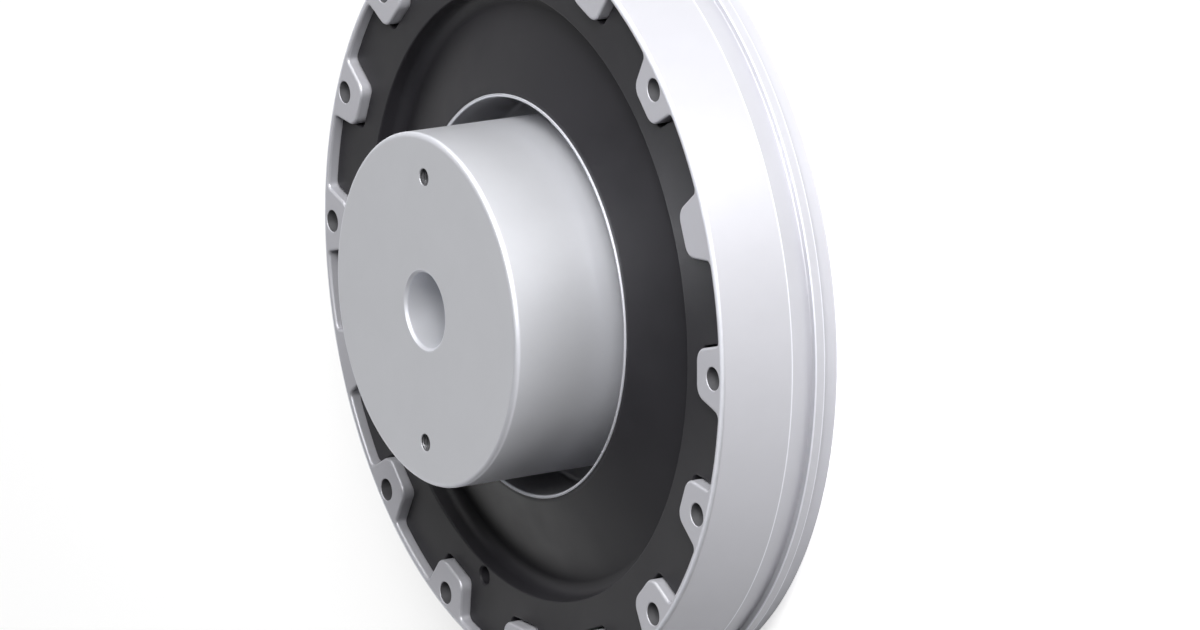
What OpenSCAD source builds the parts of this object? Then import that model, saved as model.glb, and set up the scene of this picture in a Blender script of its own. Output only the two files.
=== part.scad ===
// Highly elastic flywheel coupling, built as it comes apart on a bench.
// A cast aluminium ring with inward lugs bolts to a flywheel. A rubber disc plugs
// its teeth between the lugs and is bonded to a steel sleeve inside. The sleeve's
// web is screwed to the steel hub from behind.
// Units are millimetres. The origin is the centre of the ring's rear face, +Z points
// out of the hub's nose, and +X runs through a lug that has no bolt hole.

/* [Flywheel flange] */
// Diameter of the pilot step that centres the ring in the flywheel
pilot_d = 466.7; // [465:0.1:468]
// Height of the pilot step
pilot_h = 11; // [8:0.5:14]
// Diameter of the collar in front of the pilot step
collar_d = 474.6; // [472:0.1:478]
// Thickness of the collar
collar_t = 6.4; // [4:0.1:9]
// Thickness of the flange plate that the rubber disc seats on
plate_t = 16; // [12:0.5:20]
// How far the flange plate reaches in past the lug tips
plate_reach = 2; // [1:0.5:6]

/* [Ring body] */
// Overall height of the ring
ring_h = 75; // [72:0.5:80]
// Diameter at the crown, where the body is widest
crown_d = 471; // [468:0.5:474]
// Height of the crown above the rear face
crown_z = 32; // [28:0.5:40]
// Diameter of the neck between the crown and the collar
neck_d = 466.5; // [464:0.5:469]
// Fillet between the neck and the collar
neck_fillet = 2.5; // [1:0.1:4]
// Outer diameter at the mouth
mouth_d = 459; // [457:0.5:462]
// Rounding of the mouth's outer edge
mouth_round = 2.2; // [1:0.1:3]
// Inner diameter between the lugs
ring_bore_d = 450; // [448:0.5:452]

/* [Lugs] */
// Number of lugs
lug_count = 16; // [12:4:16]
// One lug in this many has no bolt hole
blank_every = 4; // [2:1:8]
// Diameter across the lug tips
lug_tip_d = 402.6; // [400:0.2:406]
// Width of a lug at its tip
lug_tip_w = 27; // [24:0.5:30]
// Width of a lug at its root
lug_root_w = 41; // [38:0.5:44]
// Rounding of a lug's tip corners
lug_corner = 4; // [2:0.5:6]
// Fillet at a lug's root
lug_fillet = 3.5; // [2:0.5:5]
// Pitch circle of the flywheel bolts
bolt_pcd = 438.15; // [436:0.05:440]
// Diameter of the flywheel bolt holes
bolt_hole_d = 13.5; // [11:0.5:14]
// Chamfer at the mouth of each bolt hole
bolt_chamfer = 0.6; // [0.3:0.1:1]

/* [Rubber disc] */
// Width of the toothed rim along the axis
rim_w = 53; // [50:0.5:55]
// Inner diameter of the rim's flat front face
rim_inner_d = 364; // [356:1:372]
// Running clearance round each lug
tooth_gap = 1.2; // [0.6:0.1:2]
// Clearance between the teeth and the ring's bore
rim_gap = 0.3; // [0.1:0.1:0.6]
// Rounding of the teeth's outer corners
tooth_corner = 4.5; // [4:0.5:7]
// Rounding of the inner corners of each notch
notch_corner = 2.5; // [1.5:0.5:4]
// Depth of the front dish below the rim's front face
dish_front = 16; // [10:0.5:18]
// Depth of the rear dish behind the rim's rear face
dish_rear = 12; // [8:0.5:14]
// Fillet in the corner of each dish
dish_fillet = 10; // [6:0.5:12]
// Rounding of the rim's inner edges
rim_round = 2; // [1:0.5:4]
// How far the lip stands out of the rubber
lip_stand = 1; // [0.5:0.1:2]
// How far the rubber stands in front of the sleeve's rear end
rear_cover = 1.5; // [1:0.1:3]
// Diameter of the blind hole in the front of the rim
pip_d = 10.6; // [8:0.1:12]
// Depth of that blind hole
pip_depth = 24; // [16:1:30]
// Pitch circle of that blind hole
pip_pcd = 378.6; // [377:0.1:381]
// Angle of that blind hole
pip_angle = 233; // [230:1:236]

/* [Bonded sleeve] */
// Height of the lip above the ring's rear face
lip_z = 72.6; // [72:0.1:75]
// Inner diameter of the sleeve
sleeve_bore_d = 236; // [232:0.5:238]
// Thickness of the lip
lip_t = 2; // [1.5:0.1:3]
// Wall of the sleeve below the lip
sleeve_wall = 6; // [4:0.5:8]
// Length of the thin lip before the wall thickens
lip_h = 3; // [2:0.5:5]
// Height of the sleeve's rear end above the ring's rear face
sleeve_rear_z = 9; // [6:0.5:12]
// Height of the web's rear face
web_z = 20; // [20:0.5:24]
// Thickness of the web
web_t = 14; // [12:0.5:18]
// Fillet where the web meets the sleeve
web_fillet = 3; // [1:0.5:5]

/* [Hub] */
// Outer diameter of the hub
hub_d = 210; // [204:1:214]
// Height of the hub's face above the ring's rear face
hub_face_z = 136.4; // [120:0.2:160]
// Pilot bore of the hub
hub_bore_d = 45; // [35:1:60]
// Chamfer at each end of the bore
bore_chamfer = 1.5; // [0.5:0.1:3]
// Rounding of the hub's front edge
hub_round = 2; // [1:0.1:4]
// Diameter of the spigot that centres the sleeve's web
spigot_d = 124; // [110:1:130]
// How far the spigot stands out behind the web
spigot_out = 2; // [1:0.5:4]
// Clearance between the spigot and the web
spigot_gap = 0.05; // [0.02:0.01:0.1]
// Pitch circle of the two puller holes in the hub's face
puller_pcd = 160; // [150:1:170]
// Core diameter of the puller holes, for an M12 thread
puller_d = 10.2; // [8.5:0.1:14]
// Depth of the puller holes
puller_depth = 26; // [20:1:32]
// Angle of the first puller hole
puller_angle = 67.5; // [0:0.5:90]

/* [Hub screws] */
// Number of screws that hold the sleeve to the hub
screw_count = 12; // [8:1:12]
// Pitch circle of the hub screws
screw_pcd = 170; // [168:1:176]
// Thread diameter of the hub screws
screw_d = 12; // [10:1:12]
// Length of the hub screws under the head
screw_l = 35; // [32:1:40]
// Diameter of the screw heads
head_d = 18; // [17:0.5:19]
// Height of the screw heads
head_h = 12; // [10:0.5:12]
// Width across the flats of the hexagon socket
socket_w = 10; // [8:1:10]
// Depth of the hexagon socket
socket_depth = 6; // [4:0.5:7]
// Clearance round the thread in its tapped hole
thread_gap = 0.1; // [0.05:0.05:0.2]
// Clearance round the shank in the web
shank_gap = 0.75; // [0.5:0.05:1]
// Outer diameter of the washers under the heads
washer_d = 20; // [19:0.5:22]
// Thickness of those washers
washer_t = 2; // [1.5:0.1:2.5]

/* [Hidden] */
SCREWS = [for (i = [1:screw_count]) str("hub_screw_", i)];
WASHERS = [for (i = [1:screw_count]) str("hub_washer_", i)];

$fn = 96;
arc_steps = 7;
cut = 1;
lug_pitch = 360 / lug_count;
screw_pitch = 360 / screw_count;
collar_top = pilot_h + collar_t;
rim_top = plate_t + rim_w;
rim_d = ring_bore_d - 2 * rim_gap;
lip_d = sleeve_bore_d + 2 * lip_t;
sleeve_d = sleeve_bore_d + 2 * sleeve_wall;
wall_step = sleeve_wall - lip_t;
web_top = web_z + web_t;
spigot_z = web_z - spigot_out;
washer_z = web_z - washer_t;
// How far a root fillet crosses the wall that it runs into
run_out = 0.03;
// How far the dish walls lean
dish_lean = 2;
// Width of the rubber's flat run-out at the sleeve, and the rounding where it ends
dish_crown = 5;
dish_crown_round = 10;
// Roundings and chamfers of small edges
edge_break = 1;
collar_break = 0.5;
lip_outer_round = 0.5;
lip_inner_round = 1.3;
hole_break = 0.4;
// Point angle of the drills, and how far the tapped holes run on past the screws
drill_point = 118;
tap_room = 4;
tap_d = screw_d + 2 * thread_gap;
tap_depth = screw_l - web_t - washer_t + tap_room;
shank_hole_d = screw_d + 2 * shank_gap;

CAST = [0.74, 0.74, 0.77];
RUBBER = [0.19, 0.19, 0.2];
STEEL = [0.7, 0.71, 0.73];
ZINC = [0.6, 0.61, 0.64];

// Outlines

function unit(v) = v / norm(v);
function xy(p) = [p[0], p[1]];

// Points along an arc about c, from angle a0 to angle a1
function arc(c, r, a0, a1) =
    [for (i = [0:arc_steps]) let (a = a0 + (a1 - a0) * i / arc_steps) c + r * [cos(a), sin(a)]];

// The corner at p between its neighbours a and b, rounded by r as far as its sides allow
function corner(p, a, b, r) =
    r <= 0 ? [p] :
    let (
        u = unit(a - p), v = unit(b - p),
        half = acos(u * v) / 2,
        reach = min(r / tan(half), 0.49 * norm(a - p), 0.49 * norm(b - p)),
        rr = reach * tan(half),
        c = p + unit(u + v) * rr / sin(half),
        s = p + u * reach - c,
        e = p + v * reach - c,
        a0 = atan2(s[1], s[0]),
        turn = (atan2(e[1], e[0]) - a0 + 540) % 360 - 180
    ) arc(c, rr, a0, a0 + turn);

// A closed outline from points [x, y, rounding]
function rounded(pts) =
    let (n = len(pts))
    [for (i = [0:n - 1])
        each corner(xy(pts[i]), xy(pts[(i + n - 1) % n]), xy(pts[(i + 1) % n]), pts[i][2])];

// One side of a lug, from the middle of its tip to outside the wall of radius wall_r.
// gap grows the outline. The fillet is tangent to the flank and all but tangent to the
// wall, which it crosses by run_out.
function lug_side(wall_r, gap, tip_round, root_round) =
    let (
        tip = [lug_tip_d / 2, lug_tip_w / 2],
        root = [ring_bore_d / 2, lug_root_w / 2],
        along = unit(root - tip),
        out = [-along[1], along[0]],
        tip_x = tip[0] - gap,
        flank = tip + gap * out,
        top = flank + along * (tip_x - flank[0]) / along[0],
        q = flank + root_round * out,
        qa = q * along,
        c = q + along * (sqrt(qa * qa - q * q + pow(wall_r + run_out - root_round, 2)) - qa),
        wall_a = atan2(c[1], c[0])
    )
    concat(
        corner(top, [tip_x, 0], c - root_round * out, tip_round),
        arc(c, root_round, atan2(-out[1], -out[0]), wall_a),
        [(wall_r + 2 * cut) * [cos(wall_a), sin(wall_a)]]
    );

module lug_outline(wall_r, gap, tip_round, root_round) {
    side = lug_side(wall_r, gap, tip_round, root_round);
    n = len(side);
    polygon(concat(side, [for (i = [n - 1:-1:0]) [side[i][0], -side[i][1]]]));
}

module all_lugs(wall_r, gap, tip_round, root_round) {
    for (i = [0:lug_count - 1])
        rotate(i * lug_pitch) lug_outline(wall_r, gap, tip_round, root_round);
}

// Outer ring

module ring_body() {
    rotate_extrude() polygon(rounded([
        [lug_tip_d / 2 - plate_reach, 0, 0],
        [pilot_d / 2, 0, edge_break],
        [pilot_d / 2, pilot_h, 0],
        [collar_d / 2, pilot_h, collar_break],
        [collar_d / 2, collar_top, collar_break],
        [neck_d / 2, collar_top, neck_fillet],
        [crown_d / 2, crown_z, 0],
        [mouth_d / 2, ring_h, mouth_round],
        [lug_tip_d / 2 - plate_reach, ring_h, 0]
    ]));
}

// A countersink of 90 degrees whose mouth lies at z = 0, and the same again above it
module countersink(d, depth) {
    translate([0, 0, -depth]) cylinder(d1 = d, d2 = d + 4 * depth, h = 2 * depth);
}

module bolt_hole() {
    translate([bolt_pcd / 2, 0, -cut]) cylinder(d = bolt_hole_d, h = ring_h + 2 * cut);
    translate([bolt_pcd / 2, 0, ring_h]) countersink(bolt_hole_d, bolt_chamfer);
}

module outer_ring() {
    color(CAST) difference() {
        ring_body();
        translate([0, 0, plate_t]) linear_extrude(height = ring_h - plate_t + cut) difference() {
            circle(d = ring_bore_d);
            all_lugs(ring_bore_d / 2, 0, lug_corner, lug_fillet);
        }
        for (i = [0:lug_count - 1])
            if (i % blank_every != 0) rotate(i * lug_pitch) bolt_hole();
    }
}

// Rubber disc

module disc_body() {
    rotate_extrude() polygon(rounded([
        [lip_d / 2, lip_z - lip_stand, 0],
        [lip_d / 2 + dish_crown, lip_z - lip_stand, dish_crown_round],
        [rim_inner_d / 2 - dish_lean, rim_top - dish_front, dish_fillet],
        [rim_inner_d / 2, rim_top, rim_round],
        [rim_d / 2, rim_top, edge_break],
        [rim_d / 2, plate_t, edge_break],
        [rim_inner_d / 2, plate_t, rim_round],
        [rim_inner_d / 2 - dish_lean, plate_t + dish_rear, dish_fillet],
        [sleeve_d / 2 + dish_crown, sleeve_rear_z + rear_cover, dish_crown_round],
        [sleeve_d / 2, sleeve_rear_z + rear_cover, 0],
        [sleeve_d / 2, lip_z - lip_h - wall_step, 0],
        [lip_d / 2, lip_z - lip_h, 0]
    ]));
}

module rubber_disc() {
    color(RUBBER) difference() {
        disc_body();
        translate([0, 0, plate_t - cut]) linear_extrude(height = rim_w + 2 * cut)
            all_lugs(rim_d / 2, tooth_gap, notch_corner, tooth_corner);
        rotate(pip_angle) translate([pip_pcd / 2, 0, rim_top - pip_depth])
            cylinder(d = pip_d, h = pip_depth + cut);
    }
}

// Bonded sleeve

module bonded_sleeve() {
    color(STEEL) difference() {
        rotate_extrude() polygon(rounded([
            [spigot_d / 2 + spigot_gap, web_z, edge_break],
            [sleeve_bore_d / 2, web_z, web_fillet],
            [sleeve_bore_d / 2, sleeve_rear_z, edge_break],
            [sleeve_d / 2, sleeve_rear_z, edge_break],
            [sleeve_d / 2, lip_z - lip_h - wall_step, 0],
            [lip_d / 2, lip_z - lip_h, 0],
            [lip_d / 2, lip_z, lip_outer_round],
            [sleeve_bore_d / 2, lip_z, lip_inner_round],
            [sleeve_bore_d / 2, web_top, web_fillet],
            [spigot_d / 2 + spigot_gap, web_top, edge_break]
        ]));
        for (i = [0:screw_count - 1]) rotate(i * screw_pitch)
            translate([screw_pcd / 2, 0, web_z - cut])
                cylinder(d = shank_hole_d, h = web_t + 2 * cut);
    }
}

// Hub

// A blind drilled hole down from z = 0, with a drill point and a broken edge at its mouth
module drilled(d, depth) {
    point_h = d / 2 / tan(drill_point / 2);
    translate([0, 0, -depth]) cylinder(d = d, h = depth + cut);
    translate([0, 0, -depth - point_h]) cylinder(d1 = 0, d2 = d, h = point_h);
    countersink(d, hole_break);
}

module hub() {
    color(STEEL) difference() {
        rotate_extrude() polygon(rounded([
            [hub_bore_d / 2, spigot_z + bore_chamfer, 0],
            [hub_bore_d / 2 + bore_chamfer, spigot_z, 0],
            [spigot_d / 2, spigot_z, edge_break],
            [spigot_d / 2, web_top, 0],
            [hub_d / 2, web_top, edge_break],
            [hub_d / 2, hub_face_z, hub_round],
            [hub_bore_d / 2 + bore_chamfer, hub_face_z, 0],
            [hub_bore_d / 2, hub_face_z - bore_chamfer, 0]
        ]));
        for (i = [0:1]) rotate(puller_angle + 180 * i)
            translate([puller_pcd / 2, 0, hub_face_z]) drilled(puller_d, puller_depth);
        for (i = [0:screw_count - 1]) rotate(i * screw_pitch)
            translate([screw_pcd / 2, 0, web_top]) mirror([0, 0, 1]) drilled(tap_d, tap_depth);
    }
}

// Hub screws and washers

// A cap screw with its head's top at the bottom, under the washer, and its shank upwards
module hub_screw(i) {
    color(ZINC) rotate(i * screw_pitch) translate([screw_pcd / 2, 0, washer_z]) difference() {
        rotate_extrude() polygon(rounded([
            [0, -head_h, 0],
            [head_d / 2, -head_h, edge_break],
            [head_d / 2, 0, 0],
            [screw_d / 2, 0, 0],
            [screw_d / 2, screw_l - edge_break, 0],
            [screw_d / 2 - edge_break, screw_l, 0],
            [0, screw_l, 0]
        ]));
        translate([0, 0, -head_h - cut])
            cylinder(d = socket_w / cos(30), h = socket_depth + cut, $fn = 6);
    }
}

module hub_washer(i) {
    color(ZINC) rotate(i * screw_pitch) translate([screw_pcd / 2, 0, washer_z]) difference() {
        cylinder(d = washer_d, h = washer_t);
        translate([0, 0, -cut]) cylinder(d = shank_hole_d, h = washer_t + 2 * cut);
    }
}

outer_ring();
rubber_disc();
bonded_sleeve();
hub();
for (i = [0:screw_count - 1]) {
    hub_screw(i);
    hub_washer(i);
}
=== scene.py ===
"""Looks of a rubber-disc flywheel coupling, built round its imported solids.

The ring, the rubber disc, the sleeve, the hub and the fasteners are surfaces worked out
as grids, with the rounded edges, knurls and threads that the solids leave out.
Lengths are in metres. The part rests on its flange, with the hub's nose up.
"""
import math

import bmesh
import bpy
import numpy as np
from mathutils import Matrix, Vector


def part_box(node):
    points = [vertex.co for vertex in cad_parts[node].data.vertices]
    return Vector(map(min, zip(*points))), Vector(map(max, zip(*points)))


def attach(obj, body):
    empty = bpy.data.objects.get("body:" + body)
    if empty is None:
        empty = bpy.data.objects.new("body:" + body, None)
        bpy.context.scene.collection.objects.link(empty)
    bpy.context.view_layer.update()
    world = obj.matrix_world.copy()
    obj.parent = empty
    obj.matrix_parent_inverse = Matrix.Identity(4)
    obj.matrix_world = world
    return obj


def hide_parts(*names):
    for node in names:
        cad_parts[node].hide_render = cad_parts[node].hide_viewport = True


MM = 0.001
TAU = 2 * math.pi

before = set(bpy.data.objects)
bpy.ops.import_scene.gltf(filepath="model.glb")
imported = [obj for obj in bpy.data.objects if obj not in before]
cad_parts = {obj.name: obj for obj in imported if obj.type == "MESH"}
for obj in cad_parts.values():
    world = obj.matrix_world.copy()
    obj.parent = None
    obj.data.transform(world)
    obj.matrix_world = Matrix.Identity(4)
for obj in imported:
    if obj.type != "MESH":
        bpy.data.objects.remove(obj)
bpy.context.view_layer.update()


def span(node):
    """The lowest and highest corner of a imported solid, as arrays."""
    low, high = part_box(node)
    return np.array(low), np.array(high)


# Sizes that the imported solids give
ring_high = span("outer_ring")[1]
sleeve_low, sleeve_high = span("bonded_sleeve")
hub_low, hub_high = span("hub")
screw_low, screw_high = span("hub_screw_1")
washer_low, washer_high = span("hub_washer_1")

collar_r = ring_high[0]
ring_h = ring_high[2]
lip_z = sleeve_high[2]
sleeve_r = sleeve_high[0]
sleeve_rear = sleeve_low[2]
hub_r = hub_high[0]
hub_face = hub_high[2]
hub_rear = hub_low[2]
screw_pitch_r = (screw_low[0] + screw_high[0]) / 2
head_r = (screw_high[0] - screw_low[0]) / 2
head_low = screw_low[2]
screw_tip = screw_high[2]
washer_r = (washer_high[0] - washer_low[0]) / 2
washer_z = washer_low[2]
web_z = washer_high[2]

# Flange and body of the ring
pilot_r = 233.35 * MM
pilot_h = 11 * MM
collar_top = 17.4 * MM
neck_r = 233.25 * MM
neck_round = 0.6 * MM
crown_r = 235.5 * MM
crown_z = 32 * MM
crown_round = 0.9 * MM
mouth_r = 229.5 * MM
mouth_round = 2.4 * MM
ring_bore_r = 225 * MM
plate_t = 16 * MM
plate_r = 199.3 * MM

# Lugs
lug_count = 16
lug_pitch = TAU / lug_count
blank_every = 4
lug_tip_r = 201.3 * MM
lug_tip_w = 27 * MM
lug_root_w = 41 * MM
lug_corner = 9 * MM
lug_fillet = 3.5 * MM
lug_edge = 1.6 * MM
bolt_circle_r = 219.075 * MM
bolt_hole_r = 6.75 * MM
bolt_chamfer = 0.4 * MM

# Rubber disc
rim_r = 224.7 * MM
rim_top = 69 * MM
rim_inner_r = 182 * MM
tooth_gap = 1.2 * MM
tooth_corner = 4.5 * MM
notch_corner = 4 * MM
rubber_edge = 1 * MM
dish_front = 16 * MM
dish_rear = 12 * MM
dish_lean = 2 * MM
dish_crown = 2 * MM
dish_crown_round = 4 * MM
dish_fillet = 7 * MM
rim_round = 1 * MM
lip_stand = 1 * MM
rear_cover = 1.5 * MM
pip_r = 5.3 * MM
pip_circle_r = 189.3 * MM
pip_depth = 24 * MM
pip_angle = math.radians(233)

# Sleeve
sleeve_bore_r = 118 * MM
lip_r = 120 * MM
lip_h = 3 * MM
lip_outer_round = 0.4 * MM
lip_inner_round = 1.3 * MM
wall_step = 4 * MM
web_top = 34 * MM
web_fillet = 3 * MM
web_bore_r = 62.05 * MM

# Hub
hub_bore_r = 22.5 * MM
bore_chamfer = 1.5 * MM
hub_round = 2.8 * MM
spigot_r = 62 * MM
puller_circle_r = 80 * MM
puller_angle = math.radians(67.5)
puller_depth = 26 * MM
puller_chamfer = 0.4 * MM
tap_depth = 23 * MM
tap_r = 6.1 * MM

# Fasteners
screw_count = sum(node.startswith("hub_screw_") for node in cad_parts)
screw_r = 6 * MM
shank_hole_r = 6.75 * MM
thread_pitch = 1.75 * MM
thread_depth = 0.9 * MM
thread_slope = 1.6
thread_foot = 0.3
socket_w = 10 * MM
socket_depth = 6 * MM
knurls = 36
knurl_depth = 0.25 * MM
washer_round = 0.25 * MM

# Small edges, and how far a row of points stands off a round to hold a flat flat
edge = 1 * MM
small_edge = 0.5 * MM
hold = 0.25 * MM

# Points once round each turned piece and each hole
sleeve_columns = 288
hub_columns = 360
hole_columns = 48
tap_columns = 32
washer_columns = 48

# Steps along a lug's corner and fillet, its tip and flank, and the wall beyond it
corner_steps = 8
flat_steps = 3
wall_steps = 10

# Points nearer to each other than this are merged at a pole
merge_within = 1e-7


# Outlines and grids

def arc(centre, radius, start, end, steps):
    """Points centre + radius * (cos a, sin a), for evenly spaced angles a."""
    a = np.linspace(start, end, steps + 1)
    return np.asarray(centre) + radius * np.stack([np.cos(a), np.sin(a)], 1)


def rounded(path, steps=6):
    """An outline through corners (x, y, rounding). Each rounded corner becomes an arc
    tangent to its two sides, with one more point on each side to hold the flat flat."""
    path = np.asarray(path, float)
    points = []
    for i, (x, y, radius) in enumerate(path):
        here = np.array((x, y))
        if radius <= 0:
            points.append(here[None])
            continue
        sides = [path[i - 1, :2] - here, path[(i + 1) % len(path), :2] - here]
        u, v = [side / np.linalg.norm(side) for side in sides]
        half = math.acos(np.clip(u @ v, -1, 1)) / 2
        reach = radius / math.tan(half)
        centre = here + (u + v) / np.linalg.norm(u + v) * radius / math.sin(half)
        start, end = [math.atan2(*(here + w * reach - centre)[::-1]) for w in (u, v)]
        end = start + (end - start + math.pi) % TAU - math.pi
        points += [[here + u * (reach + hold)], arc(centre, radius, start, end, steps),
                   [here + v * (reach + hold)]]
    return np.concatenate(points)


def turned(profile, a):
    """A grid of the profile's points (radius, height) at the given angles."""
    r, z = np.asarray(profile).T
    level = np.tile(z, (len(a), 1))
    return np.stack([np.outer(np.cos(a), r), np.outer(np.sin(a), r), level], 2)


def lathe(profile, columns):
    """The profile turned about the axis at even angles."""
    return turned(profile, np.arange(columns) * TAU / columns)


def grid_mesh(name, points, closed=True):
    """A mesh of quads through a grid of points. Its columns go once round the axis.
    Its rows close on themselves, or else end at poles on the axis, which are merged."""
    columns, rows = points.shape[:2]
    index = np.arange(columns * rows).reshape(columns, rows)
    beside = np.roll(index, -1, 0)
    quads = np.stack([index, beside, np.roll(beside, -1, 1), np.roll(index, -1, 1)], 2)
    if not closed:
        quads = quads[:, :-1]
    mesh = bpy.data.meshes.new(name)
    mesh.from_pydata(points.reshape(-1, 3).tolist(), [], quads.reshape(-1, 4).tolist())
    if not closed:
        work = bmesh.new()
        work.from_mesh(mesh)
        bmesh.ops.remove_doubles(work, verts=work.verts, dist=merge_within)
        work.to_mesh(mesh)
        work.free()
    return mesh


def moved(points, radius, angle):
    """A grid set out from the axis by a radius and turned to an angle."""
    x, y, z = np.moveaxis(points, -1, 0)
    x = x + radius
    c, s = math.cos(angle), math.sin(angle)
    return np.stack([c * x - s * y, s * x + c * y, z], -1)


def link_object(name, mesh):
    """Puts a mesh into the scene as an object at the origin."""
    piece = bpy.data.objects.new(name, mesh)
    bpy.context.scene.collection.objects.link(piece)
    return piece


def drill(piece, cutters):
    """Cuts closed grids out of a piece with one Boolean, and applies it."""
    meshes = [grid_mesh("cutter", points, closed=False) for points in cutters]
    work = bmesh.new()
    for mesh in meshes:
        work.from_mesh(mesh)
    cutter_mesh = bpy.data.meshes.new("cutters")
    work.to_mesh(cutter_mesh)
    work.free()
    cutter = link_object("cutters", cutter_mesh)
    cut = piece.modifiers.new("holes", "BOOLEAN")
    cut.operation = "DIFFERENCE"
    cut.solver = "EXACT"
    cut.object = cutter
    bpy.context.view_layer.update()
    drilled = piece.evaluated_get(bpy.context.evaluated_depsgraph_get())
    mesh = bpy.data.meshes.new_from_object(drilled)
    piece.modifiers.clear()
    piece.data = mesh
    bpy.data.objects.remove(cutter)


def finish_piece(piece, node, material, sharp=32):
    """Shades a piece smooth up to its sharp edges, those of more than sharp degrees, and
    lets it stand for its solid."""
    piece.data.polygons.foreach_set("use_smooth", np.ones(len(piece.data.polygons), bool))
    piece.data.set_sharp_from_angle(angle=math.radians(sharp))
    piece.data.materials.clear()
    piece.data.materials.append(material)
    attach(piece, "root")
    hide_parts(node)


# Lugs

def half_lug(wall_r, gap, tip_round, root_round):
    """Half of a lug's outline and its directions out of the metal, as two arrays. It runs
    from the middle of the tip along a rounded corner, the flank, the root fillet and the
    wall of radius wall_r, up to halfway to the next lug. gap grows it evenly."""
    tip = np.array((lug_tip_r, lug_tip_w / 2))
    root = np.array((ring_bore_r, lug_root_w / 2))
    along = (root - tip) / np.linalg.norm(root - tip)
    out = np.array((-along[1], along[0]))
    tip_x = lug_tip_r - gap
    flank = tip + gap * out
    top = flank + along * (tip_x - flank[0]) / along[0]
    flank_a = math.atan2(out[1], out[0])
    corner_turn = (math.pi - flank_a) / 2
    corner_c = top + np.array((tip_round, -tip_round * math.tan(corner_turn)))
    q = flank + root_round * out
    qa = q @ along
    reach = math.sqrt(qa * qa - q @ q + (wall_r - root_round) ** 2) - qa
    root_c = q + along * reach
    wall_a = math.atan2(root_c[1], root_c[0])
    corner = arc(corner_c, tip_round, math.pi, flank_a, corner_steps)
    fillet = arc(root_c, root_round, flank_a - math.pi, wall_a, corner_steps)
    wall = arc((0, 0), wall_r, wall_a, lug_pitch / 2, wall_steps)[1:]
    tip_row = np.linspace((tip_x, 0), corner[0], flat_steps + 1)[:-1]
    flank_row = np.linspace(corner[-1], fillet[0], flat_steps + 1)[1:-1]
    points = np.concatenate([tip_row, corner, flank_row, fillet, wall])
    outward = np.concatenate([
        np.tile((-1.0, 0.0), (len(tip_row), 1)), (corner - corner_c) / tip_round,
        np.tile(out, (len(flank_row), 1)), (root_c - fillet) / root_round, -wall / wall_r])
    return points, outward


def lug_ring(*sizes):
    """The outline of all lugs and its directions out of the metal, once round."""
    rows = []
    for half in half_lug(*sizes):
        mirrored = half[::-1] * (1, -1)
        rows.append(np.concatenate([mirrored[:-1], half[:-1]]))
    turns = np.arange(lug_count) * lug_pitch
    c, s = np.cos(turns)[:, None], np.sin(turns)[:, None]
    return [np.stack([c * x - s * y, s * x + c * y], 2).reshape(-1, 2)
            for x, y in [(row[:, 0], row[:, 1]) for row in rows]]


def outline_rows(outline, outward, steps):
    """Rows that follow an outline, each at an (offset along outward, height)."""
    offset, height = np.asarray(steps).T
    flat = outline[:, None] + outward[:, None] * offset[None, :, None]
    level = np.broadcast_to(height[None, :, None], flat.shape[:2] + (1,))
    return np.concatenate([flat, level], 2)


def quarter(offset, height, radius, side, up, steps=6):
    """A quarter round between a wall and a face, as (offset, height) from the face."""
    a = np.linspace(0, math.pi / 2, steps + 1)
    across = offset + side * radius * (1 - np.sin(a))
    level = height + up * radius * (1 - np.cos(a))
    return np.stack([across, level], 1)


# Pieces

def ring_surface():
    """The ring's section carried round it. The outer side is turned, and the inner side
    follows the lugs, with their front edges broken by a small round. The turned rows take
    the lugs' own angles, so that no quad between them folds."""
    outline, outward = lug_ring(ring_bore_r, 0, lug_corner, lug_fillet)
    outer = rounded([
        (plate_r, 0, small_edge), (pilot_r, 0, edge), (pilot_r, pilot_h, 0),
        (collar_r, pilot_h, small_edge), (collar_r, collar_top, small_edge),
        (neck_r, collar_top, neck_round), (crown_r, crown_z, crown_round),
        (mouth_r, ring_h, mouth_round), (ring_bore_r, ring_h, 0),
        (ring_bore_r, plate_t, 0), (plate_r, plate_t, small_edge)])
    stop = int(np.argmin(np.hypot(outer[:, 0] - ring_bore_r, outer[:, 1] - ring_h)))
    top = quarter(0, ring_h, lug_edge, -1, -1)
    foot = quarter(0, plate_t, small_edge, 1, 1)[::-1]
    wall = np.concatenate([[(top[0, 0] - hold, ring_h)], top, [(0, top[-1, 1] - hold)],
                           [(0, foot[0, 1] + hold)], foot])
    inner = outline_rows(outline, outward, wall)
    a = np.arctan2(inner[:, 0, 1], inner[:, 0, 0])
    return np.concatenate([turned(outer[:stop], a), inner, turned(outer[stop + 2:], a)], 1)


def hole_grid(radius, low, high, chamfer):
    """A drill with a countersink at the face at high, closed by its two poles."""
    profile = [(0, low), (radius, low), (radius, high - chamfer),
               (radius + 2 * chamfer, high + chamfer), (0, high + chamfer)]
    return lathe(profile, hole_columns)


def outer_ring(material):
    """The lugged ring, drilled through each lug but every fourth one."""
    piece = link_object("ring", grid_mesh("ring", ring_surface()))
    hole = hole_grid(bolt_hole_r, -edge, ring_h, bolt_chamfer)
    drill(piece, [moved(hole, bolt_circle_r, i * lug_pitch)
                  for i in range(lug_count) if i % blank_every])
    finish_piece(piece, "outer_ring", material)


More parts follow.
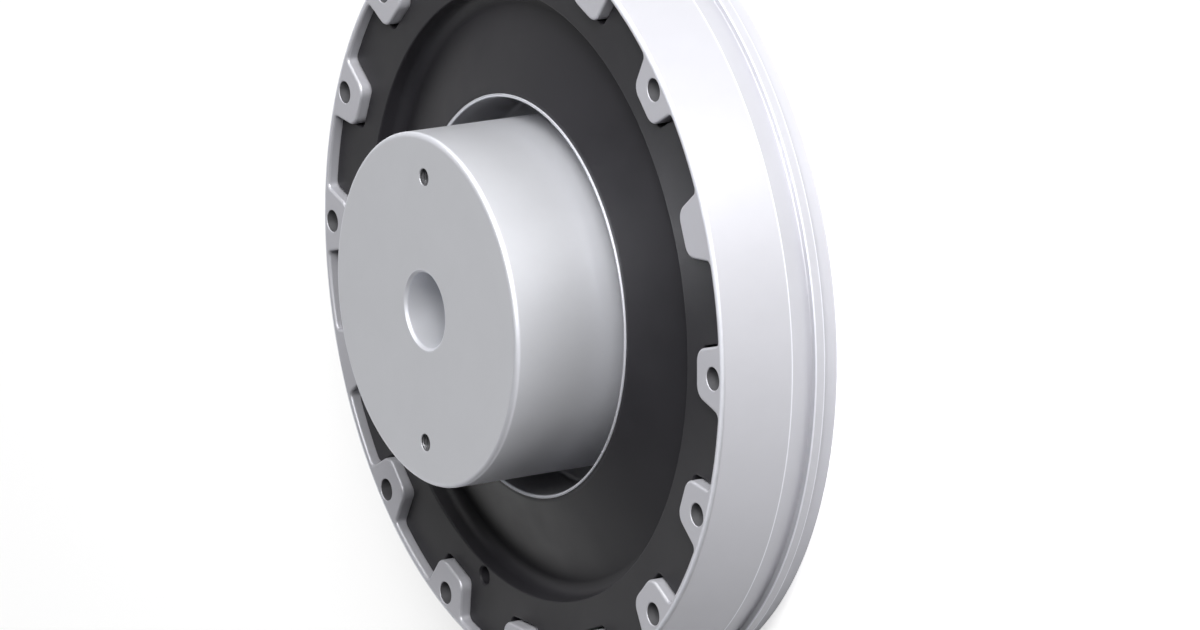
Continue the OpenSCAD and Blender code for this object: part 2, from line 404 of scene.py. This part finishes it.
def rubber_surface():
    """The disc's section carried round it: dished inside, with an outer side that follows
    the lugs at a small gap, so that the teeth fill the pockets."""
    outline, outward = lug_ring(rim_r, tooth_gap, notch_corner, tooth_corner)
    front_low = rim_top - dish_front
    rear_high = plate_t + dish_rear
    rear = sleeve_rear + rear_cover
    front = lip_z - lip_stand
    step_z = lip_z - lip_h - wall_step
    path = rounded([
        (sleeve_r, rear, 0), (sleeve_r + dish_crown, rear, dish_crown_round),
        (rim_inner_r - dish_lean, rear_high, dish_fillet), (rim_inner_r, plate_t, rim_round),
        (rim_r, plate_t, 0), (rim_r, rim_top, 0), (rim_inner_r, rim_top, rim_round),
        (rim_inner_r - dish_lean, front_low, dish_fillet),
        (lip_r + dish_crown, front, dish_crown_round), (lip_r, front, 0),
        (lip_r, lip_z - lip_h, 0), (sleeve_r, step_z, 0)], steps=8)
    stop = int(np.argmin(np.hypot(path[:, 0] - rim_r, path[:, 1] - plate_t)))
    foot = quarter(0, plate_t, rubber_edge, -1, 1)
    top = quarter(0, rim_top, rubber_edge, -1, -1)[::-1]
    wall = np.concatenate([[(foot[0, 0] - hold, plate_t)], foot, [(0, foot[-1, 1] + hold)],
                           [(0, top[0, 1] - hold)], top, [(top[-1, 0] - hold, rim_top)]])
    teeth = outline_rows(outline, -outward, wall)
    a = np.arctan2(teeth[:, 0, 1], teeth[:, 0, 0])
    return np.concatenate([turned(path[:stop], a), teeth, turned(path[stop + 2:], a)], 1)


def rubber_disc(material):
    """The toothed disc, with one small blind hole in the face of its rim."""
    piece = link_object("rubber", grid_mesh("rubber", rubber_surface()))
    hole = hole_grid(pip_r, rim_top - pip_depth, rim_top, edge)
    drill(piece, [moved(hole, pip_circle_r, pip_angle)])
    finish_piece(piece, "rubber_disc", material)


def sleeve(material):
    """A turned sleeve with a thin lip in front and a web inside."""
    profile = rounded([
        (web_bore_r, web_z, small_edge), (sleeve_bore_r, web_z, web_fillet),
        (sleeve_bore_r, sleeve_rear, small_edge), (sleeve_r, sleeve_rear, small_edge),
        (sleeve_r, lip_z - lip_h - wall_step, 0), (lip_r, lip_z - lip_h, 0),
        (lip_r, lip_z, lip_outer_round), (sleeve_bore_r, lip_z, lip_inner_round),
        (sleeve_bore_r, web_top, web_fillet), (web_bore_r, web_top, small_edge)])
    piece = link_object("sleeve", grid_mesh("sleeve", lathe(profile, sleeve_columns)))
    shank = hole_grid(shank_hole_r, web_z - edge, web_top, small_edge)
    drill(piece, [moved(shank, screw_pitch_r, i * TAU / screw_count)
                  for i in range(screw_count)])
    finish_piece(piece, "bonded_sleeve", material)


def thread_rows(low, high, columns=hole_columns, turn_rows=6):
    """A screw thread as a grid: the radius is the core's plus a ridge, whose height over
    one turn is a saw of the given slope, cut flat at its foot and its crest, that climbs
    by one pitch. It fades out over the first and the last turn."""
    rows = int(round((high - low) / thread_pitch * turn_rows))
    z = np.linspace(low, high, rows + 1)[None]
    a = (np.arange(columns) * TAU / columns)[:, None]
    phase = (z / thread_pitch - a / TAU) % 1
    saw = 1 - np.abs(2 * phase - 1)
    ridge = np.clip(thread_slope * saw - thread_foot, 0, 1)
    fade = np.clip(np.minimum(z - low, high - z) / thread_pitch, 0, 1)
    r = screw_r - thread_depth + thread_depth * ridge * fade
    return np.stack([r * np.cos(a), r * np.sin(a), np.broadcast_to(z, r.shape)], 2)


def tapped_hole_grid(low, high):
    """A threaded hole with a countersink at the face at high, closed by its two poles."""
    thread = thread_rows(low, high - puller_chamfer)
    wide = screw_r - thread_depth + 2 * puller_chamfer
    foot = lathe([(0, low)], len(thread))
    mouth = lathe([(wide, high + puller_chamfer), (0, high + puller_chamfer)], len(thread))
    return np.concatenate([foot, thread, mouth], 1)


def hub(material):
    """The turned hub, drilled for two tapped puller holes and the screws behind."""
    profile = rounded([
        (hub_bore_r, hub_rear + bore_chamfer, 0), (hub_bore_r + bore_chamfer, hub_rear, 0),
        (spigot_r, hub_rear, edge), (spigot_r, web_top, 0), (hub_r, web_top, edge),
        (hub_r, hub_face, hub_round), (hub_bore_r + bore_chamfer, hub_face, 0),
        (hub_bore_r, hub_face - bore_chamfer, 0)])
    piece = link_object("turned_hub", grid_mesh("turned_hub", lathe(profile, hub_columns)))
    puller = tapped_hole_grid(hub_face - puller_depth, hub_face)
    tap = lathe([(0, web_top - edge), (tap_r, web_top - edge), (tap_r, web_top + tap_depth),
                 (0, web_top + tap_depth + tap_r / 2)], tap_columns)
    holes = [moved(puller, puller_circle_r, puller_angle + side * math.pi)
             for side in (0, 1)]
    holes += [moved(tap, screw_pitch_r, i * TAU / screw_count) for i in range(screw_count)]
    drill(piece, holes)
    finish_piece(piece, "hub", material)


def cap_screw_grid():
    """A socket head cap screw from the floor of its socket round to its point. The socket
    follows a hexagon, the head's side is knurled and the shank is threaded."""
    columns = 2 * knurls
    a = np.arange(columns) * TAU / columns
    hexagon = socket_w / 2 / np.cos((a + TAU / 12) % (TAU / 6) - TAU / 12)
    knurled = head_r - knurl_depth * (np.arange(columns) % 2)
    ones = np.ones(columns)
    plain = (head_r - knurl_depth) * ones
    rows = [
        (0 * ones, head_low + socket_depth), (hexagon, head_low + socket_depth),
        (hexagon, head_low + hold), (hexagon + hold, head_low),
        ((head_r - edge) * ones, head_low), (plain, head_low + small_edge),
        (knurled, head_low + edge), (knurled, washer_z - 2 * edge), (plain, washer_z - edge),
        (plain, washer_z), (screw_r * ones, washer_z)]
    radius = np.stack([row[0] for row in rows], 1)
    height = np.tile([row[1] for row in rows], (columns, 1))
    head = np.stack([radius * np.cos(a)[:, None], radius * np.sin(a)[:, None], height], 2)
    shank = thread_rows(washer_z + edge, screw_tip, columns)
    return np.concatenate([head, shank, lathe([(0, screw_tip)], columns)], 1)


def fasteners(screw_material, washer_material):
    """The screws from behind and their washers, even round the axis."""
    screw = cap_screw_grid()
    washer = lathe(rounded([
        (shank_hole_r, washer_z, washer_round), (washer_r, washer_z, washer_round),
        (washer_r, web_z, washer_round), (shank_hole_r, web_z, washer_round)], steps=3),
        washer_columns)
    for i in range(screw_count):
        place = {"radius": screw_pitch_r, "angle": i * TAU / screw_count}
        mesh = grid_mesh(f"screw_{i + 1}", moved(screw, **place), closed=False)
        finish_piece(link_object(f"screw_{i + 1}", mesh), f"hub_screw_{i + 1}",
                     screw_material)
        mesh = grid_mesh(f"washer_{i + 1}", moved(washer, **place))
        finish_piece(link_object(f"washer_{i + 1}", mesh), f"hub_washer_{i + 1}",
                     washer_material)


# Node groups

# Waves of each noise in a metre, and of the lathe's marks in a pitch
mark_waves = 0.5
swing_waves = 14.0
cloud_waves = 22.0
worn_highlight_waves = 160.0

# The clouds' fineness, how much the wear noise widens the painted highlight on a worn
# edge, the mean of a noise, and the width of a zone's border
cloud_roughness = 0.62
worn_highlight_gain = 1.6
noise_mean = 0.5
zone_border = 0.3 * MM


def add_node(tree, kind, settings=(), **inputs):
    """Adds a node. Inputs are given by socket name, as values or as sockets to link."""
    node = tree.nodes.new(kind)
    for name, value in dict(settings).items():
        setattr(node, name, value)
    for name, value in inputs.items():
        plug(tree, node.inputs[name.replace("_", " ")], value)
    return node


def plug(tree, socket, value):
    """Links a socket to an input, or sets the input's own value."""
    if isinstance(value, bpy.types.NodeSocket):
        tree.links.new(value, socket)
    else:
        socket.default_value = value


def maths(tree, operation, *values, clamp=False):
    """One step of arithmetic on values or sockets."""
    node = add_node(tree, "ShaderNodeMath", {"operation": operation, "use_clamp": clamp})
    for socket, value in zip(node.inputs, values):
        plug(tree, socket, value)
    return node.outputs[0]


def new_group(name, inputs, outputs):
    """A shader node group with float inputs {name: default}, and float outputs."""
    tree = bpy.data.node_groups.new(name, "ShaderNodeTree")
    for label, default in inputs.items():
        socket = tree.interface.new_socket(label, in_out="INPUT", socket_type="NodeSocketFloat")
        socket.default_value = default
    for label in outputs:
        tree.interface.new_socket(label, in_out="OUTPUT", socket_type="NodeSocketFloat")
    given = tree.nodes.new("NodeGroupInput").outputs
    return tree, given, tree.nodes.new("NodeGroupOutput").inputs


def radius_and_height(tree):
    """A point's distance from the part's axis, its height, and the point itself."""
    place = add_node(tree, "ShaderNodeTexCoord").outputs["Object"]
    parts = add_node(tree, "ShaderNodeSeparateXYZ", Vector=place).outputs
    flat = add_node(tree, "ShaderNodeCombineXYZ", X=parts["X"], Y=parts["Y"]).outputs[0]
    length = add_node(tree, "ShaderNodeVectorMath", {"operation": "LENGTH"}, Vector=flat)
    return length.outputs["Value"], parts["Z"], place


def turning_marks():
    """Rings left by the lathe: noise that varies with the distance from the axis and the
    height alone, plus a slow noise in space, times Wander. Pitch sets their spacing."""
    tree, given, made = new_group("turning marks", {"Pitch": 0.8 * MM, "Wander": 0.5},
                                  ["Height"])
    radius, height, place = radius_and_height(tree)
    rings = add_node(tree, "ShaderNodeCombineXYZ",
                     X=maths(tree, "DIVIDE", radius, given["Pitch"]),
                     Y=maths(tree, "DIVIDE", height, given["Pitch"]))
    marks = add_node(tree, "ShaderNodeTexNoise", Vector=rings.outputs[0], Scale=mark_waves,
                     Detail=3.0)
    slow = add_node(tree, "ShaderNodeTexNoise", Vector=place, Scale=swing_waves, Detail=2.0)
    swing = maths(tree, "MULTIPLY", slow.outputs[0], given["Wander"])
    tree.links.new(maths(tree, "ADD", marks.outputs[0], swing), made["Height"])
    return tree


def fine_grain():
    """Cast or moulded grain: a fine noise for height, and cloudier tones from a slow one.
    Tone swings about 1 by Contrast."""
    tree, given, made = new_group("fine grain", {"Scale": 900.0, "Contrast": 0.1},
                                  ["Height", "Tone"])
    place = add_node(tree, "ShaderNodeTexCoord").outputs["Object"]
    grain = add_node(tree, "ShaderNodeTexNoise", Vector=place, Scale=given["Scale"], Detail=2.0)
    cloud = add_node(tree, "ShaderNodeTexNoise", Vector=place, Scale=cloud_waves, Detail=4.0,
                     Roughness=cloud_roughness)
    tone = maths(tree, "MULTIPLY_ADD", maths(tree, "SUBTRACT", cloud.outputs[0], noise_mean),
                 given["Contrast"], 1.0)
    tree.links.new(grain.outputs[0], made["Height"])
    tree.links.new(tone, made["Tone"])
    return tree


def worn_edge_highlight():
    """How close a point is to a turned edge, a circle of a Radius at a Height: 1 at the
    circle and 0 from one Width away, worn a little unevenly by a fine noise. The mask
    sets where a worn edge gets a painted highlight."""
    tree, given, made = new_group(
        "worn edge highlight", {"Radius": 0.1, "Height": 0.0, "Width": 2 * MM}, ["Mask"])
    radius, height, place = radius_and_height(tree)
    across = maths(tree, "SUBTRACT", radius, given["Radius"])
    up = maths(tree, "SUBTRACT", height, given["Height"])
    squares = maths(tree, "ADD", maths(tree, "MULTIPLY", across, across),
                    maths(tree, "MULTIPLY", up, up))
    far = maths(tree, "DIVIDE", maths(tree, "SQRT", squares), given["Width"])
    near = maths(tree, "SUBTRACT", 1.0, far, clamp=True)
    wear = add_node(tree, "ShaderNodeTexNoise", Vector=place, Scale=worn_highlight_waves, Detail=3.0)
    worn = maths(tree, "MULTIPLY_ADD", wear.outputs[0], worn_highlight_gain, 1.0)
    tree.links.new(maths(tree, "MULTIPLY", near, worn, clamp=True), made["Mask"])
    return tree


def low_zone():
    """1 inside a Radius and below a Height, with a soft border, and 0 elsewhere."""
    tree, given, made = new_group("low zone", {"Radius": 0.2, "Height": 0.07}, ["Mask"])
    radius, height, _ = radius_and_height(tree)
    inside = maths(tree, "DIVIDE", maths(tree, "SUBTRACT", given["Radius"], radius),
                   zone_border, clamp=True)
    below = maths(tree, "DIVIDE", maths(tree, "SUBTRACT", given["Height"], height),
                  zone_border, clamp=True)
    tree.links.new(maths(tree, "MULTIPLY", inside, below), made["Mask"])
    return tree


def shaded_hole_walls():
    """1 on the walls of Count even holes round the axis, the first at the angle Turn, and
    0 elsewhere: it sets where the walls get a painted shade. The angle from the nearest
    hole, which is the angle wrapped by half a pitch either way, gives the place along and
    across it. Circle is the hole circle's radius, Radius is the holes' own, and the walls
    run from Bottom to Top."""
    tree, given, made = new_group(
        "shaded hole walls", {"Circle": 0.2, "Count": 16.0, "Turn": 0.0, "Radius": 0.007,
                          "Bottom": 0.0, "Top": 0.07}, ["Mask"])
    radius, height, place = radius_and_height(tree)
    parts = add_node(tree, "ShaderNodeSeparateXYZ", Vector=place).outputs
    angle = maths(tree, "ARCTAN2", parts["Y"], parts["X"])
    half = maths(tree, "DIVIDE", math.pi, given["Count"])
    nearest = maths(tree, "WRAP", maths(tree, "SUBTRACT", angle, given["Turn"]),
                    maths(tree, "MULTIPLY", half, -1.0), half)
    reach = maths(tree, "MULTIPLY", radius, maths(tree, "COSINE", nearest))
    along = maths(tree, "SUBTRACT", reach, given["Circle"])
    across = maths(tree, "MULTIPLY", radius, maths(tree, "SINE", nearest))
    squares = maths(tree, "ADD", maths(tree, "MULTIPLY", along, along),
                    maths(tree, "MULTIPLY", across, across))
    inside = maths(tree, "LESS_THAN", maths(tree, "SQRT", squares), given["Radius"])
    level = maths(tree, "MULTIPLY", maths(tree, "GREATER_THAN", height, given["Bottom"]),
                  maths(tree, "LESS_THAN", height, given["Top"]))
    tree.links.new(maths(tree, "MULTIPLY", inside, level), made["Mask"])
    return tree


groups = {"grain": fine_grain(), "marks": turning_marks(), "edge_highlight": worn_edge_highlight(),
          "zone": low_zone(), "holes": shaded_hole_walls()}


# Materials

# What milled and cast surfaces add to tone, and what they and the worn edges, which get
# a painted highlight, add to roughness
milled_tone = 0.17
milled_rough = 0.22
cast_tone = -0.1
cast_rough = 0.15
worn_highlight_rough = 0.1

# Colours of worn edges, a painted highlight, and of the walls of holes, painted shade
worn_highlight_colour = (0.90, 0.91, 0.97)
hole_shade_colour = (0.18, 0.18, 0.19)

# Grain: its waves in a metre, how strongly its clouds show, and how high its relief is,
# which on cast metal is more by a factor
metal_grain = 700.0
metal_clouds = 0.08
metal_relief = 0.002 * MM
cast_factor = 12.0
rubber_grain = 1500.0
rubber_clouds = 0.5
rubber_relief = 0.02 * MM


def use_group(tree, name, **inputs):
    """Places a node group in a material with its own values."""
    node = tree.nodes.new("ShaderNodeGroup")
    node.node_tree = groups[name]
    for label, value in inputs.items():
        plug(tree, node.inputs[label], value)
    return node.outputs


def mix_colours(tree, blend, factor, first, second):
    """Blends two colours, or a colour and a tone."""
    node = add_node(tree, "ShaderNodeMix", {"data_type": "RGBA", "blend_type": blend})
    plug(tree, node.inputs["Factor"], factor)
    for socket, value in zip((node.inputs[6], node.inputs[7]), (first, second)):
        plug(tree, socket, value if isinstance(value, bpy.types.NodeSocket) else (*value, 1.0))
    return node.outputs[2]


def add_material(name, colour, roughness, metallic=0.0, specular=0.5):
    """A material with its tree and its Principled shader, whose even values are set here."""
    material = bpy.data.materials.new(name)
    material.use_nodes = True
    shader = material.node_tree.nodes["Principled BSDF"]
    shader.inputs["Base Color"].default_value = (*colour, 1.0)
    shader.inputs["Roughness"].default_value = roughness
    shader.inputs["Metallic"].default_value = metallic
    shader.inputs["Specular IOR Level"].default_value = specular
    return material, material.node_tree, shader.inputs


def add_bump(tree, inputs, height, relief):
    """Lets a height between 0 and 1, as a relief in metres, turn the light."""
    bump = add_node(tree, "ShaderNodeBump", Height=height, Strength=1.0, Distance=relief)
    tree.links.new(bump.outputs[0], inputs["Normal"])


def turned_metal(name, colour, roughness, pitch, edges=(), cast=None, holes=None,
                 metallic=0.5):
    """Metal off the lathe: fine rings, a slightly cloudy tone and roughness, and worn
    edges, each (radius, height, width), whose near-white colour is a painted highlight.
    cast is (radius, height, face height): the metal is cast inside the radius and below
    the height, and milled above the face height. holes holds the holes' values, and
    their walls get a dark colour, which is painted shade."""
    material, tree, inputs = add_material(name, colour, roughness, metallic)
    grain = use_group(tree, "grain", Scale=metal_grain, Contrast=metal_clouds)
    marks = use_group(tree, "marks", Pitch=pitch)["Height"]
    tone = grain["Tone"]
    rough = maths(tree, "MULTIPLY", tone, roughness)
    height = marks
    if cast:
        skin = use_group(tree, "zone", Radius=cast[0], Height=cast[1])["Mask"]
        unmilled = use_group(tree, "zone", Radius=2 * cast[0], Height=cast[2])["Mask"]
        tone = maths(tree, "MULTIPLY_ADD", skin, cast_tone, tone)
        milled = maths(tree, "SUBTRACT", 1.0, unmilled)
        tone = maths(tree, "MULTIPLY_ADD", milled, milled_tone, tone)
        rough = maths(tree, "MULTIPLY_ADD", milled, milled_rough, rough)
        rough = maths(tree, "MULTIPLY_ADD", skin, cast_rough, rough)
        coarse = maths(tree, "MULTIPLY", grain["Height"], cast_factor)
        height = add_node(tree, "ShaderNodeMix", Factor=skin, A=marks, B=coarse).outputs[0]
    paint = mix_colours(tree, "MULTIPLY", 1.0, colour, tone)
    edge_highlight = 0.0
    for edge_r, edge_z, width in edges:
        near = use_group(tree, "edge_highlight", Radius=edge_r, Height=edge_z, Width=width)["Mask"]
        edge_highlight = maths(tree, "MAXIMUM", edge_highlight, near)
    # Worn edges take a near-white colour, a painted highlight, and a little more roughness
    if edges:
        paint = mix_colours(tree, "MIX", edge_highlight, paint, worn_highlight_colour)
        rough = maths(tree, "MULTIPLY_ADD", edge_highlight, worn_highlight_rough, rough)
    # The walls of the holes take a dark colour: painted shade for the dim inside of a hole
    if holes:
        wall = use_group(tree, "holes", **holes)["Mask"]
        paint = mix_colours(tree, "MIX", wall, paint, hole_shade_colour)
    tree.links.new(paint, inputs["Base Color"])
    tree.links.new(rough, inputs["Roughness"])
    add_bump(tree, inputs, height, metal_relief)
    return material


def moulded_rubber(colour, roughness):
    """Black rubber from a mould: a matt skin with a fine grain and greyer clouds."""
    material, tree, inputs = add_material("moulded rubber", colour, roughness)
    grain = use_group(tree, "grain", Scale=rubber_grain, Contrast=rubber_clouds)
    paint = mix_colours(tree, "MULTIPLY", 1.0, colour, grain["Tone"])
    tree.links.new(paint, inputs["Base Color"])
    tree.links.new(maths(tree, "MULTIPLY", grain["Tone"], roughness), inputs["Roughness"])
    add_bump(tree, inputs, grain["Height"], rubber_relief)
    return material


# Worn edges with a painted highlight, as (radius, height, width), the cast part of the
# ring, and the holes whose walls get painted shade
ring_edges = [(mouth_r - edge, ring_h, 2 * edge), (crown_r, crown_z, small_edge),
              (collar_r, collar_top, edge), (collar_r, pilot_h, edge), (pilot_r, 0, edge)]
sleeve_edges = [(lip_r - small_edge, lip_z, 2 * edge)]
hub_edges = [(hub_r - small_edge, hub_face - small_edge, 3 * edge),
             (hub_bore_r + bore_chamfer / 2, hub_face - bore_chamfer / 2, 2 * edge)]
ring_cast = (ring_bore_r + small_edge, ring_h - lug_edge, ring_h - hold)
bolt_holes = {"Circle": bolt_circle_r, "Count": float(lug_count), "Turn": 0.0,
              "Radius": bolt_hole_r + hold, "Bottom": small_edge,
              "Top": ring_h - bolt_chamfer}
puller_holes = {"Circle": puller_circle_r, "Count": 2.0, "Turn": puller_angle,
                "Radius": screw_r + hold, "Bottom": web_top,
                "Top": hub_face - puller_chamfer}

outer_ring(turned_metal("satin aluminium", (0.60, 0.60, 0.64), 0.45, 0.9 * MM, ring_edges,
                        cast=ring_cast, holes=bolt_holes))
rubber_disc(moulded_rubber((0.022, 0.021, 0.025), 0.5))
# A steel colour, made darker than the hub's to paint the shade in the recess between the hub
# and the lip
sleeve(turned_metal("sleeve steel", (0.34, 0.34, 0.36), 0.42, 0.7 * MM, sleeve_edges))
hub(turned_metal("turned steel", (0.78, 0.79, 0.83), 0.4, 0.7 * MM, hub_edges,
                 holes=puller_holes, metallic=0.55))
fasteners(turned_metal("black steel", (0.05, 0.05, 0.055), 0.45, 0.5 * MM),
          turned_metal("zinc plate", (0.5, 0.51, 0.53), 0.35, 0.5 * MM))


# Studio

# The floor, and the camera: lens in millimetres, farthest sight, place and directions
floor_reach = 30.0
floor_colour = (0.8, 0.8, 0.8)
camera_lens = 240
camera_sight = 100
camera_at = Vector((4.0694, -0.4241, 2.3914))
camera_right = Vector((0.4784, -0.1991, -0.8553))
camera_back = Vector((0.8609, -0.0859, 0.5015))


def seen_glow(tree, straight, mirrored):
    """A strength for what the camera sees straight, and one for what it sees in metal or
    through glass. Other rays see nothing."""
    path = add_node(tree, "ShaderNodeLightPath").outputs
    indirect = maths(tree, "MAXIMUM", path["Is Glossy Ray"], path["Is Transmission Ray"])
    return maths(tree, "MAXIMUM", maths(tree, "MULTIPLY", path["Is Camera Ray"], straight),
                 maths(tree, "MULTIPLY", indirect, mirrored))


def add_floor(straight, mirrored):
    """A wide white floor. To the camera and in reflections it glows, so that it reads
    white, and it keeps the part's shadow."""
    corners = ((-1, -1), (1, -1), (1, 1), (-1, 1))
    points = [(x * floor_reach, y * floor_reach, 0) for x, y in corners]
    mesh = bpy.data.meshes.new("floor")
    mesh.from_pydata(points, [], [(0, 1, 2, 3)])
    floor = link_object("floor", mesh)
    material, tree, inputs = add_material("white floor", floor_colour, 1.0, specular=0.0)
    inputs["Emission Color"].default_value = (1, 1, 1, 1)
    tree.links.new(seen_glow(tree, straight, mirrored), inputs["Emission Strength"])
    mesh.materials.append(material)


def add_lamp(name, azimuth, elevation, watts, distance=3.0, size=1.5):
    """A square area lamp that faces the part, at angles in the part's own frame."""
    a, e = math.radians(azimuth), math.radians(elevation)
    towards = Vector((math.cos(a) * math.cos(e), math.sin(a) * math.cos(e), math.sin(e)))
    light = bpy.data.lights.new(name, "AREA")
    light.size = size
    light.energy = watts
    lamp = bpy.data.objects.new(name, light)
    lamp.location = Vector((0, 0, ring_h)) + towards * distance
    lamp.rotation_euler = towards.to_track_quat("Z", "Y").to_euler()
    bpy.context.scene.collection.objects.link(lamp)


def add_sky(level):
    """A white sky behind the floor, which lights the part only at a low level."""
    world = bpy.data.worlds.new("studio")
    world.use_nodes = True
    tree = world.node_tree
    background = tree.nodes["Background"]
    background.inputs["Color"].default_value = (1, 1, 1, 1)
    seen = add_node(tree, "ShaderNodeLightPath").outputs["Is Camera Ray"]
    tree.links.new(maths(tree, "MAXIMUM", seen, level), background.inputs["Strength"])
    bpy.context.scene.world = world


def add_camera():
    """A long lens at the photograph's angle, tilted as the photograph is. The picture's
    upward direction is at right angles to the way back to the camera and to the given
    direction to its right."""
    lens = bpy.data.cameras.new("camera")
    lens.lens = camera_lens
    lens.clip_end = camera_sight
    camera = bpy.data.objects.new("camera", lens)
    back = camera_back.normalized()
    up = back.cross(camera_right).normalized()
    turn = Matrix((up.cross(back), up, back)).transposed()
    camera.matrix_world = Matrix.Translation(camera_at) @ turn.to_4x4()
    bpy.context.scene.collection.objects.link(camera)
    bpy.context.scene.camera = camera


add_floor(0.57, 0.25)
add_sky(0.02)
add_lamp("key", 20, 33, 82)
add_lamp("low key", 18, 12, 36)
add_lamp("fill", 50, 35, 8)
add_lamp("side", 75, 15, 25)
add_lamp("far", 160, 20, 15, size=3.0)
add_lamp("low far", 198, 15, 8)
add_camera()
bpy.context.scene.view_settings.view_transform = "Standard"
